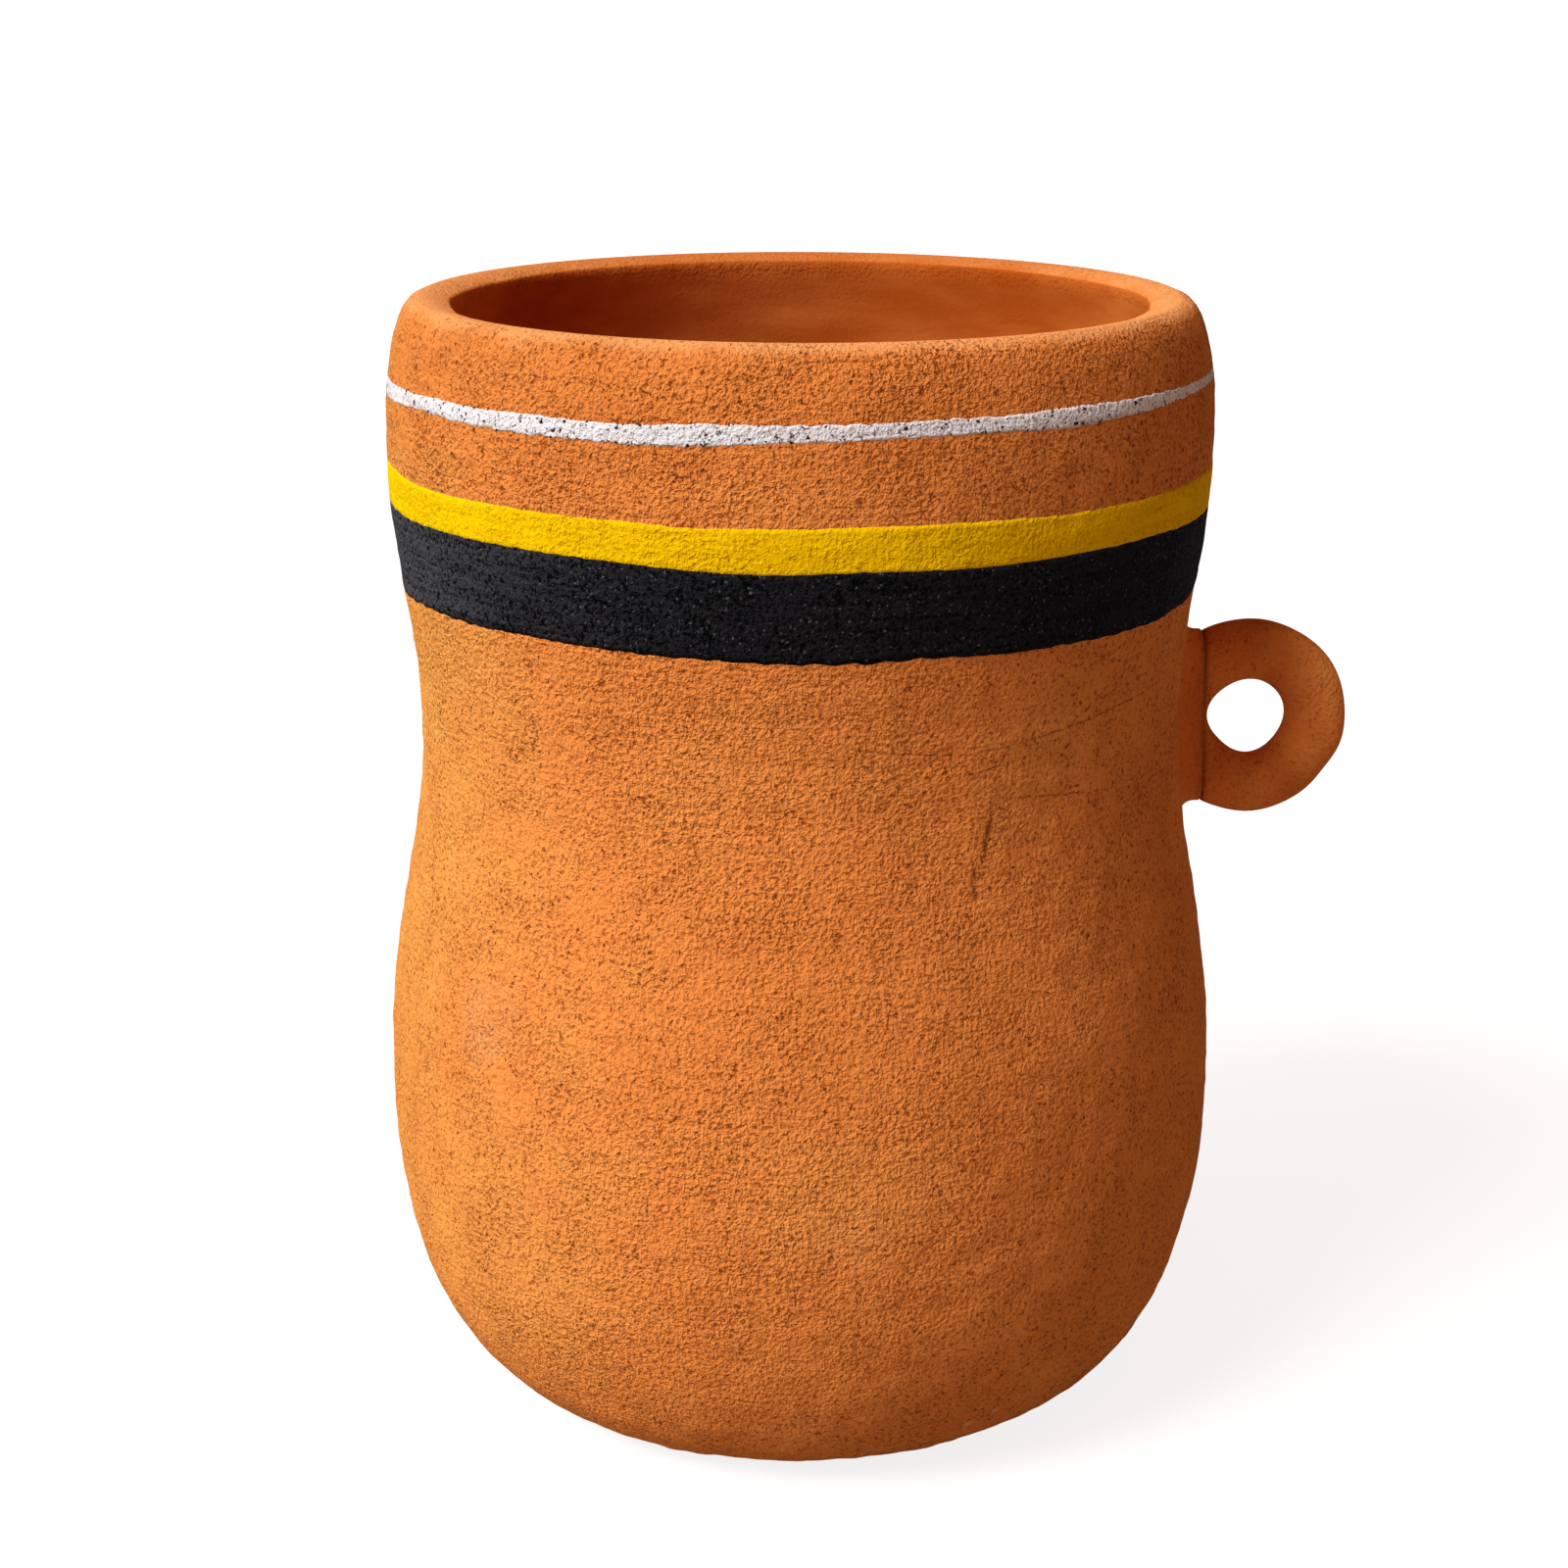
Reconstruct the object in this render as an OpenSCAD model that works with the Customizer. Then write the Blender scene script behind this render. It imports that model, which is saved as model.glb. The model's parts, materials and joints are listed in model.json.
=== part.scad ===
// Waisted terracotta planter: a hand-built pot with a rolled lip and a rounded
// belly, one pierced ring of clay luted to its waist, and three brushed bands
// of coloured slip under the rim.
// Millimetres. The origin is the centre of the foot, on the ground. +Z is up
// and the ring is on the +X side.

/* [Outer wall] */
// Diameter of the flat foot that the pot stands on
foot_d = 136; // [116:1:150]
// Largest diameter of the belly
belly_d = 227.5; // [215:0.5:250]
// Height of the fullest part of the belly above the ground
belly_rise = 88; // [72:1:110]
// Smallest diameter, at the waist
waist_d = 203.5; // [185:0.5:215]
// Height of the waist above the fullest part of the belly
waist_rise = 100; // [80:1:125]
// Largest diameter of the shoulder
shoulder_d = 217.5; // [205:0.5:235]
// Height of the shoulder above the waist
shoulder_rise = 76; // [68:1:100]
// Diameter of the crest of the lip
crest_d = 198.6; // [190:0.2:206]
// Height of the lip's crest above the shoulder
crest_rise = 36; // [30:1:50]

/* [Swell of the wall] */
// Angle between the ground and the wall where it leaves the foot
foot_angle = 8; // [2:1:20]
// Length over which the wall holds that angle
foot_sweep = 25; // [15:1:35]
// Share of its rise for which the belly stays upright under its fullest part
belly_under = 0.66; // [0.4:0.01:0.8]
// Share of the waist's rise for which the belly stays upright above it
belly_over = 0.43; // [0.25:0.01:0.6]
// Share of its rise for which the waist is upright below its narrowest part
waist_under = 0.32; // [0.2:0.01:0.6]
// Share of the shoulder's rise for which the waist stays upright above it
waist_over = 0.4; // [0.25:0.01:0.6]
// Share of its rise for which the shoulder is upright below its fullest part
shoulder_under = 0.42; // [0.25:0.01:0.6]
// Share of the crest's rise for which the shoulder stays upright above it
shoulder_over = 0.48; // [0.3:0.01:0.7]
// Width of the roll that carries the outer wall over into the crest
lip_roll = 6.9; // [4:0.1:9]

/* [Clay] */
// Thickness of the wall
wall_t = 13; // [9:0.5:16]
// Thickness of the floor
floor_t = 14; // [10:0.5:20]
// Diameter of the mouth at the inner edge of the lip
mouth_d = 181.5; // [172:0.5:186]
// Drop from the crest to where the mouth's edge turns upright
mouth_fall = 4; // [2.5:0.5:8]
// Share of the lip's width that is nearly level
lip_level = 0.8; // [0.5:0.05:0.95]
// Diameter of the drain hole in the floor
drain_d = 18; // [8:1:30]

/* [Ring lug] */
// Bore through the ring, which takes a cord, a hook or a finger
eye_d = 20.6; // [14:0.2:26]
// Width of the flattened coil that the ring is bent from
coil_w = 17.2; // [13:0.2:20]
// Thickness of that coil, from face to face
coil_t = 13.6; // [10:0.2:18]
// Depth that the smoothing of the bore takes off the coil
eye_bite = 0.6; // [0.3:0.1:1.5]
// Distance of the ring's centre below the waist
lug_drop = 1.8; // [0:0.1:15]
// Clay left between the bore and the seam
seam_web = 2; // [1.5:0.1:5]

/* [Luting] */
// Thickness of the luting clay between the waist and the seam
luting_t = 7.5; // [5:0.5:12]
// Height of the luting clay
luting_h = 48; // [40:0.5:56]
// Width of the luting clay
luting_w = 16; // [12:0.5:20]
// Radius of the fillet that feathers it into the wall
luting_fillet = 4.5; // [2:0.1:5]

/* [Slip bands] */
// Thickness of a coat of slip
coat_t = 0.4; // [0.2:0.05:0.8]
// Distance from the crest down to the white line's upper edge
white_drop = 17; // [14:0.5:24]
// Width of the white line
white_w = 3.8; // [3:0.1:6]
// Slant of the white line, which climbs towards the ring
white_slant = 1; // [0:0.1:1.5]
// Distance from the crest down to the yellow band's upper edge
yellow_drop = 40.6; // [34:0.2:48]
// Width of the yellow band
yellow_w = 10.5; // [8:0.5:14]
// Width of the black band, which starts where the yellow one ends
black_w = 22.1; // [18:0.1:26]

/* [Hidden] */
$fn = 180;              // fine enough for the luting to fit the wall in a mesh too

clay = "#C4662A";
lug_clay = "#A9501C";
curve_steps = 12;       // straight pieces in each swell of the wall
lip_steps = 8;          // and in the two short curves of the lip
fillet_steps = 6;
coil_steps = 32;
past = 1;               // what a cutting shape runs past the shape it cuts
slant_room = 1;         // spare height around the slanted white line

// Heights of the four turning points of the wall
belly_z = belly_rise;
waist_z = belly_z + waist_rise;
shoulder_z = waist_z + shoulder_rise;
pot_h = shoulder_z + crest_rise;

// A cubic curve through control points c, its direction, and a point set
// square off it to the left of that direction
function bezier(c, t) =
    pow(1 - t, 3) * c[0] + 3 * pow(1 - t, 2) * t * c[1]
    + 3 * (1 - t) * t * t * c[2] + pow(t, 3) * c[3];
function heading(c, t) =
    pow(1 - t, 2) * (c[1] - c[0]) + 2 * (1 - t) * t * (c[2] - c[1]) + t * t * (c[3] - c[2]);
function inset(c, t, d) =
    let (h = heading(c, t))
    bezier(c, t) + d * [-h[1], h[0]] / norm(h);

// Points along a curve without its last one, where the next curve starts
function run(c, n) = [for (i = [0 : n - 1]) bezier(c, i / n)];

// A curve that leaves a and reaches b upright; the shares say for how long
function swell(a, b, over, under) =
    let (rise = b[1] - a[1])
    [a, a + [0, over * rise], b - [0, under * rise], b];

// The outer wall, from the foot up to the crest of the lip, as [radius, height]
foot_pt = [foot_d / 2, 0];
belly_pt = [belly_d / 2, belly_z];
waist_pt = [waist_d / 2, waist_z];
shoulder_pt = [shoulder_d / 2, shoulder_z];
crest_pt = [crest_d / 2, pot_h];
bowl_curve = [
    foot_pt,
    foot_pt + foot_sweep * [cos(foot_angle), sin(foot_angle)],
    belly_pt - [0, belly_under * belly_rise],
    belly_pt
];
waist_curve = swell(belly_pt, waist_pt, belly_over, waist_under);
shoulder_curve = swell(waist_pt, shoulder_pt, waist_over, shoulder_under);
roll_curve = [
    shoulder_pt,
    shoulder_pt + [0, shoulder_over * crest_rise],
    crest_pt + [lip_roll, 0],
    crest_pt
];
outer_wall = concat(
    run(bowl_curve, curve_steps),
    run(waist_curve, curve_steps),
    run(shoulder_curve, curve_steps),
    run(roll_curve, curve_steps),
    [crest_pt]
);
function wall_r(z) = lookup(z, [for (p = outer_wall) [p[1], p[0]]]);

// The lip's top, and the neck that leads from the mouth down to the inner wall
mouth_pt = [mouth_d / 2, pot_h - mouth_fall];
neck_pt = shoulder_pt - [wall_t, 0];
neck_rise = mouth_pt[1] - neck_pt[1];
lip_curve = [
    crest_pt,
    crest_pt - [lip_level * (crest_pt[0] - mouth_pt[0]), 0],
    mouth_pt + [0, lip_level * mouth_fall],
    mouth_pt
];
neck_curve = [
    mouth_pt,
    mouth_pt - [0, shoulder_under * neck_rise],
    neck_pt + [0, shoulder_over * neck_rise],
    neck_pt
];

// The inner wall follows the outer one at wall_t, from the neck to the floor
inner_wall = [
    for (c = [shoulder_curve, waist_curve, bowl_curve])
        for (i = [0 : curve_steps - 1])
            let (p = inset(c, 1 - i / curve_steps, wall_t))
            if (p[1] > floor_t) p
];
// Where it reaches the floor, on its lowest stretch
bowl_lining = [for (i = [0 : curve_steps]) inset(bowl_curve, i / curve_steps, wall_t)];
floor_pt = [lookup(floor_t, [for (p = bowl_lining) [p[1], p[0]]]), floor_t];

// The ring stands in the XZ plane, seam_x from the pot's axis at its flat side
eye_r = eye_d / 2;
coil_r = eye_r + coil_w / 2 - eye_bite;
seam_x = waist_d / 2 + luting_t;
ring_x = seam_x + seam_web + eye_r;
lug_z = waist_z - lug_drop;
// The luting's fillet starts on the wall at the edges of the pad
luting_reach = luting_w / 2 + luting_fillet;
fillet_x = sqrt(pow(waist_d / 2, 2) - pow(luting_reach, 2));

// Heights of the bands' edges
white_z = pot_h - white_drop - white_w / 2;
yellow_top = pot_h - yellow_drop;
black_top = yellow_top - yellow_w;

// Wall points between two heights, as the wall's own corners and the two ends
function wall_between(z0, z1) = [
    for (z = concat([z0], [for (p = outer_wall) if (p[1] > z0 && p[1] < z1) p[1]], [z1]))
        [wall_r(z), z]
];

// A coat of slip on the wall between two heights
module coat(z0, z1) {
    wall = wall_between(z0, z1);
    last = len(wall) - 1;
    rotate_extrude(convexity = 4)
        polygon(concat(wall, [for (i = [0 : last]) wall[last - i] + [coat_t, 0]]));
}

// The space that the pot fills between two heights
module pot_core(z0, z1) {
    rotate_extrude(convexity = 4)
        polygon(concat([[0, z0]], wall_between(z0, z1), [[0, z1]]));
}

module pot_body() {
    color(clay)
        difference() {
            rotate_extrude(convexity = 6)
                polygon(concat(
                    [[0, 0]],
                    outer_wall,
                    run(lip_curve, lip_steps),
                    run(neck_curve, lip_steps),
                    inner_wall,
                    [floor_pt, [0, floor_t]]
                ));
            translate([0, 0, -past])
                cylinder(d = drain_d, h = floor_t + 2 * past);
        }
}

// Half outline of the luting clay: a fillet on the wall that rises to the pad
function luting_side() =
    let (top = seam_x - fillet_x, half = luting_w / 2)
    concat(
        [for (i = [0 : fillet_steps])
            let (a = 270 - 90 * i / fillet_steps)
            [half + luting_fillet * (1 + cos(a)), luting_fillet * (1 + sin(a))]],
        [[half, top]]
    );

// An upright pad with round ends, whose foot flares on every side
module flared_pad(h, side) {
    last = len(side) - 1;
    root = side[0] - [0, wall_t / 2];
    tip = side[last];
    half = concat([root], side);
    straight = h - 2 * tip[0];
    for (end = [-1, 1])
        translate([end * straight / 2, 0, 0])
            rotate_extrude(convexity = 4)
                polygon(concat([[0, root[1]]], half, [[0, tip[1]]]));
    rotate([90, 0, 90])
        linear_extrude(height = straight, center = true)
            polygon(concat(half, [for (i = [last + 1 : -1 : 0]) [-half[i][0], half[i][1]]]));
}

module lug_luting() {
    color(lug_clay)
        difference() {
            translate([fillet_x, 0, lug_z])
                rotate([0, 90, 0])
                    flared_pad(luting_h, luting_side());
            pot_core(lug_z - luting_h, lug_z + luting_h);
        }
}

module ring_lug() {
    ring_r = coil_r + coil_w / 2;
    color(lug_clay)
        difference() {
            translate([ring_x, 0, lug_z])
                rotate([90, 0, 0])
                    difference() {
                        rotate_extrude(convexity = 4)
                            polygon([for (i = [0 : coil_steps - 1])
                                let (a = 360 * i / coil_steps)
                                [coil_r + coil_w / 2 * cos(a), coil_t / 2 * sin(a)]]);
                        cylinder(r = eye_r, h = coil_t + 2 * past, center = true);
                    }
            translate([seam_x - ring_r, -ring_r, lug_z - ring_r - past])
                cube([ring_r, 2 * ring_r, 2 * (ring_r + past)]);
        }
}

module white_band() {
    widest = max([for (p = outer_wall) p[0]]) + coat_t;
    swing = white_w / 2 + widest * sin(white_slant) + slant_room;
    side = 2 * (widest + past);
    color("#EDE9E4")
        intersection() {
            coat(white_z - swing, white_z + swing);
            translate([0, 0, white_z])
                rotate([0, -white_slant, 0])
                    cube([side, side, white_w], center = true);
        }
}

module yellow_band() {
    color("#E9B308")
        coat(black_top, yellow_top);
}

module black_band() {
    color("#23252A")
        coat(black_top - black_w, black_top);
}

pot_body();
lug_luting();
ring_lug();
white_band();
yellow_band();
black_band();
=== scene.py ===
# %% [markdown]
# # A waisted terracotta planter
#
# This lesson dresses a measured model of a hand-built flower pot. The model
# comes in as a fixed frame, in metres, with the pot standing on z = 0, its axis
# on z and its ring lug on the +x side. Every piece made here lies in that frame.

# %% The frame
import json
import math

import bpy
import numpy as np
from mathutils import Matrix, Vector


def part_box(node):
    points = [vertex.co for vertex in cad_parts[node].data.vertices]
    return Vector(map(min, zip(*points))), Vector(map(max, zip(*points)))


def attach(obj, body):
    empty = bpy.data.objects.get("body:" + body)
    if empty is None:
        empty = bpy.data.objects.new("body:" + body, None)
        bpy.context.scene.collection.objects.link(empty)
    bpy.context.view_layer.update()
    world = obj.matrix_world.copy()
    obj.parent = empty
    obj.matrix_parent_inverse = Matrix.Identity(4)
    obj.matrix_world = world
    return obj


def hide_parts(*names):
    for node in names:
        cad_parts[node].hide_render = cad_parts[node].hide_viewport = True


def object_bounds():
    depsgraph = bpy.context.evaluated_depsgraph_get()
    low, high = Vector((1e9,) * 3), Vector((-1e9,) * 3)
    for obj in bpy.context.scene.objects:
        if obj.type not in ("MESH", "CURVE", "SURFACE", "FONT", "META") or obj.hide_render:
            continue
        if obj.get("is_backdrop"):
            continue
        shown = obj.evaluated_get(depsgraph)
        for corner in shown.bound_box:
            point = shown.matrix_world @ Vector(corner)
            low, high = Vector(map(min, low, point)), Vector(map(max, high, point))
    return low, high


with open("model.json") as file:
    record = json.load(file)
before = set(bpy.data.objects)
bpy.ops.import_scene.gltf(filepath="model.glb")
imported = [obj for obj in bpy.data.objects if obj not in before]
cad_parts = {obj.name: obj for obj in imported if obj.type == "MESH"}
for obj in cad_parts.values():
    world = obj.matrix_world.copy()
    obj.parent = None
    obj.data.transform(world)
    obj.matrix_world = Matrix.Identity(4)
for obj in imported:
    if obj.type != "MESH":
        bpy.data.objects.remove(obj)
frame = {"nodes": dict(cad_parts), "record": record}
cad_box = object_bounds()
print("nodes in the frame:", sorted(frame["nodes"]))

# %% [markdown]
# ## Sizes
#
# The pot is a solid of revolution, so one section describes it. Four turning
# points fix its outer wall: the belly, the waist, the shoulder and the crest of
# the lip. What the frame knows is read from it, and the rest is repeated here.

# %% Sizes of the pot
mm = 0.001
body_low, body_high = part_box("pot_body")
mounts = {mount["name"]: mount for mount in frame["record"]["mounts"]}

pot_h = body_high.z
foot_r = 68 * mm
belly_r, belly_z = -body_low.x, 88 * mm
waist_r, waist_z = 101.75 * mm, 188 * mm
shoulder_r, shoulder_z = 108.75 * mm, 264 * mm
crest_r = 99.3 * mm
mouth_r, mouth_z = 90.75 * mm, pot_h - 4 * mm
wall_t, floor_t = 13 * mm, 14 * mm
drain_r = mounts["drain_hole"]["dims"]["r_mm"] * mm
print(f"pot {1000 * pot_h:.1f} mm tall, belly {2000 * belly_r:.1f} mm across")

# %% [markdown]
# ## The section of the wall
#
# Clay that is coiled up and scraped by hand swells and draws in without any
# corner. Cubic curves that leave and reach each turning point upright give that
# line with very few numbers. The inner wall is the same line, set in by the
# thickness of the clay.


# %% Helpers for curves
def bezier(points, t):
    """The cubic curve (1-t)^3 a + 3 (1-t)^2 t b + 3 (1-t) t^2 c + t^3 d, for each t."""
    shares = [(1 - t) ** 3, 3 * (1 - t) ** 2 * t, 3 * (1 - t) * t ** 2, t ** 3]
    return np.stack(shares, axis=-1) @ np.array(points)


def swell(a, b, over, under):
    """Control points of a curve that leaves a and reaches b upright.

    The two shares of the rise say for how long it stays upright at each end.
    """
    rise = b[1] - a[1]
    return [a, (a[0], a[1] + over * rise), (b[0], b[1] - under * rise), b]


def arc_length(points):
    """Distance along a line of points: the running sum of the steps' lengths."""
    steps = np.linalg.norm(np.diff(points, axis=0), axis=1)
    return np.concatenate([[0.0], np.cumsum(steps)])


def outward(points):
    """Unit normals of a line in the (r, z) plane: its direction turned a quarter right."""
    along = np.gradient(points, axis=0)
    along /= np.linalg.norm(along, axis=1, keepdims=True)
    return np.stack([along[:, 1], -along[:, 0]], axis=-1)


# %% Curves of the section
foot_angle = math.radians(8)
foot_sweep = 25 * mm
lip_roll = 6.9 * mm
belly, waist = (belly_r, belly_z), (waist_r, waist_z)
shoulder, crest = (shoulder_r, shoulder_z), (crest_r, pot_h)
mouth, neck = (mouth_r, mouth_z), (shoulder_r - wall_t, shoulder_z)
bowl_curve = [
    (foot_r, 0),
    (foot_r + foot_sweep * math.cos(foot_angle), foot_sweep * math.sin(foot_angle)),
    (belly_r, belly_z - 0.66 * belly_z),
    belly,
]
waist_curve = swell(belly, waist, 0.43, 0.32)
shoulder_curve = swell(waist, shoulder, 0.4, 0.42)
roll_rise = pot_h - shoulder_z
roll_curve = [
    shoulder,
    (shoulder_r, shoulder_z + 0.48 * roll_rise),
    (crest_r + lip_roll, pot_h),
    crest,
]
edge_r, edge_z = mouth_r + 0.9 * mm, pot_h - 1.7 * mm
lip_edge = (edge_r, edge_z)
lip_top_curve = [
    crest,
    (crest_r - 3.2 * mm, pot_h),
    (edge_r + 2.4 * mm, edge_z + 0.8 * mm),
    lip_edge,
]
lip_edge_curve = [
    lip_edge,
    (mouth_r + 0.2 * mm, edge_z - 0.3 * mm),
    (mouth_r, edge_z - 0.8 * mm),
    mouth,
]
neck_rise = mouth_z - shoulder_z
neck_curve = [
    mouth,
    (mouth_r + 3.2 * mm, mouth_z - 0.3 * neck_rise),
    (neck[0], neck[1] + 0.5 * neck_rise),
    neck,
]
roll_in = shoulder_r - crest_r
print(f"the lip rolls in by {1000 * roll_in:.1f} mm over the last {1000 * roll_rise:.0f} mm")

# %% The section as lines of points
fine = np.linspace(0, 1, 81)
wall_curves = [bowl_curve, waist_curve, shoulder_curve]
wall_only = np.concatenate([bezier(curve, fine)[:-1] for curve in wall_curves])
outer_line = np.concatenate([wall_only, bezier(roll_curve, fine)[:-1]])
lining = (wall_only - wall_t * outward(wall_only))[::-1]
lining = lining[lining[:, 1] > floor_t]
print(f"outer line {1000 * arc_length(outer_line)[-1]:.0f} mm long, lining {len(lining)} points")

# %% [markdown]
# ## Unevenness
#
# A wall built by hand is never a true surface of revolution. Its unevenness is a
# sum of waves over the unrolled wall. Each wave goes a whole number of times
# round the pot, so the wall closes on itself, and a fixed seed keeps every wave
# the same in each run.


# %% A sum of waves
def ripples(turn, height, longest, shortest, count, seed, most_lean=90.0, least_lean=0.0):
    """Sum of count waves cos(n turn + k height + phase), scaled to a spread of 1.

    n is a whole number and k a number of radians per metre, drawn so that the
    wave's length lies between shortest and longest and its crests lean by an
    angle between least_lean and most_lean degrees from upright.
    """
    draw = np.random.default_rng(seed)
    length = shortest * (longest / shortest) ** draw.random(count)
    lean = np.radians(least_lean + (most_lean - least_lean) * draw.random(count))
    around = np.round(2 * np.pi * waist_r * np.cos(lean) / length) * draw.choice([-1, 1], count)
    up = 2 * np.pi * np.sin(lean) / length
    phase = 2 * np.pi * draw.random(count)
    weight = length / np.sqrt(0.5 * np.sum(length ** 2))
    total = np.zeros(np.broadcast(turn, height).shape)
    for n, k, start, share in zip(around, up, phase, weight):
        total += share * np.cos(n * turn + k * height + start)
    return total


# %% Ramps and bells
def ramp(value, start, end):
    """0 as far as start, 1 from end on, and a straight rise between the two."""
    return np.clip((value - start) / (end - start), 0, 1)


def bell(value, centre, width):
    """A bell round one value: exp(-((value - centre) / width)^2)."""
    return np.exp(-((value - centre) / width) ** 2)


def bump_at(angle, centre, width):
    """A bell round one direction: angle is in radians, and centre and width are in degrees."""
    return bell((np.degrees(angle) - centre + 180) % 360 - 180, 0, width)


# %% How the outer wall strays
def unevenness(turn, along):
    """How far the outer wall stands off its section, in metres, at an angle and a length.

    Long waves are the wall's swells, middling ones the press of the fingers,
    short ones clumps of grog, and nearly level ones the strokes of the scraper.
    """
    return mm * (
        0.14 * ripples(turn, along, 220 * mm, 70 * mm, 10, seed=3)
        + 0.1 * ripples(turn, along, 45 * mm, 14 * mm, 60, seed=5)
        + 0.07 * ripples(turn, along, 13 * mm, 6 * mm, 120, seed=7)
        + 0.05 * ripples(turn, along, 14 * mm, 6 * mm, 60, seed=9, least_lean=82)
    )


sample = unevenness(np.linspace(-np.pi, np.pi, 400)[:, None], np.linspace(0, 0.34, 200))
print(f"the wall strays {1000 * sample.min():.2f} to {1000 * sample.max():.2f} mm from its section")

# %% [markdown]
# ## Meshes from grids
#
# Every piece is a grid of points, worked out as whole arrays. Rings that close
# on themselves both ways leave no seam and no open edge.


# %% A closed grid as a mesh
def add_piece(name, points, attributes=None, capped=False):
    """A smooth mesh from points[row, column], whose columns close on themselves.

    The rows close on themselves too, or else a flat cap closes each end. Its faces
    point to the side from which the columns run to the right and the rows upwards.
    """
    rows, columns = points.shape[:2]
    here = np.arange(rows * columns).reshape(rows, columns)
    right, above = np.roll(here, -1, axis=1), np.roll(here, -1, axis=0)
    quads = np.stack([here, right, np.roll(above, -1, axis=1), above], axis=-1)
    quads = quads[:-1] if capped else quads
    faces = quads.reshape(-1, 4).tolist()
    if capped:
        faces += [here[0, ::-1].tolist(), here[-1].tolist()]
    mesh = bpy.data.meshes.new(name)
    mesh.from_pydata(points.reshape(-1, 3).tolist(), [], faces)
    for label, values in (attributes or {}).items():
        layer = mesh.attributes.new(label, "FLOAT", "POINT")
        layer.data.foreach_set("value", np.ascontiguousarray(values, np.float32).ravel())
    mesh.shade_smooth()
    piece = bpy.data.objects.new(name, mesh)
    bpy.context.scene.collection.objects.link(piece)
    print(f"{name}: {sum(len(face) - 2 for face in faces)} triangles")
    return piece


# %% [markdown]
# ## The pot
#
# The section is walked once all the way round: out under the foot, up the wall,
# over the lip, down the lining, in along the floor and down the drain hole. The
# visible wall gets closely spaced rings, and the smooth lining only a few. Each
# stretch also has its grit, which says how coarse its clay is: scraping the wall
# drags the grog and leaves pits, and wiping with a wet finger smooths the lip a
# little and the lining nearly wholly.


# %% Section and rings
outer_rings, lip_rings, neck_rings, lining_rings, flat_rings = 134, 19, 9, 21, 4
wall_grit, foot_grit, lip_grit, wiped_grit = 1.0, 0.2, 0.38, 0.08
drain_round = 0.5 * mm
drain_top = (drain_r + drain_round, floor_t)
drain_foot = (drain_r, drain_round)
underside = np.array([drain_foot, (drain_r + drain_round, 0), (foot_r, 0)])
lip_line = np.concatenate([bezier(lip_top_curve, fine), bezier(lip_edge_curve, fine)[1:]])
inner_floor = np.array([lining[-1], drain_top])
drain = np.array([drain_top, (drain_r, floor_t - drain_round), drain_foot])
stretches = [
    (underside, flat_rings, foot_grit),
    (outer_line, outer_rings, wall_grit),
    (lip_line, lip_rings, lip_grit),
    (bezier(neck_curve, fine), neck_rings, wiped_grit),
    (lining, lining_rings, wiped_grit),
    (inner_floor, flat_rings, wiped_grit),
    (drain, flat_rings, wiped_grit),
]


def even_points(line, count):
    """count points at equal distances along a line, without its start, and those distances."""
    length = arc_length(line)
    at = np.linspace(0, length[-1], count + 1)[1:]
    return np.stack([np.interp(at, length, line[:, axis]) for axis in (0, 1)], axis=-1), at


section, section_at, section_grit, on_outside = [], [], [], []
for line, count, grit in stretches:
    points, at = even_points(line, count)
    section.append(points)
    section_at.append(at)
    section_grit.append(np.full(count, grit))
    on_outside.append(np.full(count, line is outer_line))
section = np.concatenate(section)
wall_at, section_grit, outside = (
    np.concatenate(parts)[:, None] for parts in (section_at, section_grit, on_outside)
)
reach, rise = section[:, :1], section[:, 1:]
print(f"{len(section)} rings")

# %% [markdown]
# The lip isn't level: it stands highest opposite the ring, by half a millimetre.
# Its inner edge wanders as the finger did that wiped it, and is a little ragged
# where grog was dragged over it. At the back the lip is thinner by a millimetre,
# and its inner edge is higher.

# %% The pot's surface
turns = 512
lip_lift, lip_fall = 0.85 * mm, 0.5 * mm
lip_wander, lip_rag = 0.3 * mm, 0.22 * mm
thin_by, raised_by, back_width = 1.0 * mm, 0.5 * mm, 65
mouth_depth, foot_fade = 22 * mm, 12 * mm
turn = np.linspace(-np.pi, np.pi, turns, endpoint=False)[None, :]
normal = outward(section)
in_mouth = ramp(rise, pot_h - mouth_depth, pot_h) ** 2
inner_side = ramp(reach, crest_r, mouth_r) * in_mouth
thin_back = bump_at(turn, 90, back_width)
stray = ramp(wall_at, 0, foot_fade) * unevenness(turn, wall_at) * (1 - in_mouth)
stray = np.where(outside, stray, 0)
wander = lip_wander * ripples(turn, rise, 120 * mm, 25 * mm, 24, seed=11, most_lean=20)
rag = in_mouth ** 4 * ripples(turn, 0, 14 * mm, 5 * mm, 40, seed=13, most_lean=1)
wander = wander + lip_rag * rag + thin_by * thin_back
radius = reach + normal[:, :1] * stray + inner_side * wander
height = rise + normal[:, 1:] * stray + inner_side * raised_by * thin_back
height = height + in_mouth * (lip_lift - lip_fall / 2 * (1 + np.cos(turn)))
lip_top = height.max(axis=0)
print(f"the lip stands {1000 * lip_top.min():.1f} to {1000 * lip_top.max():.1f} mm high")
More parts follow.
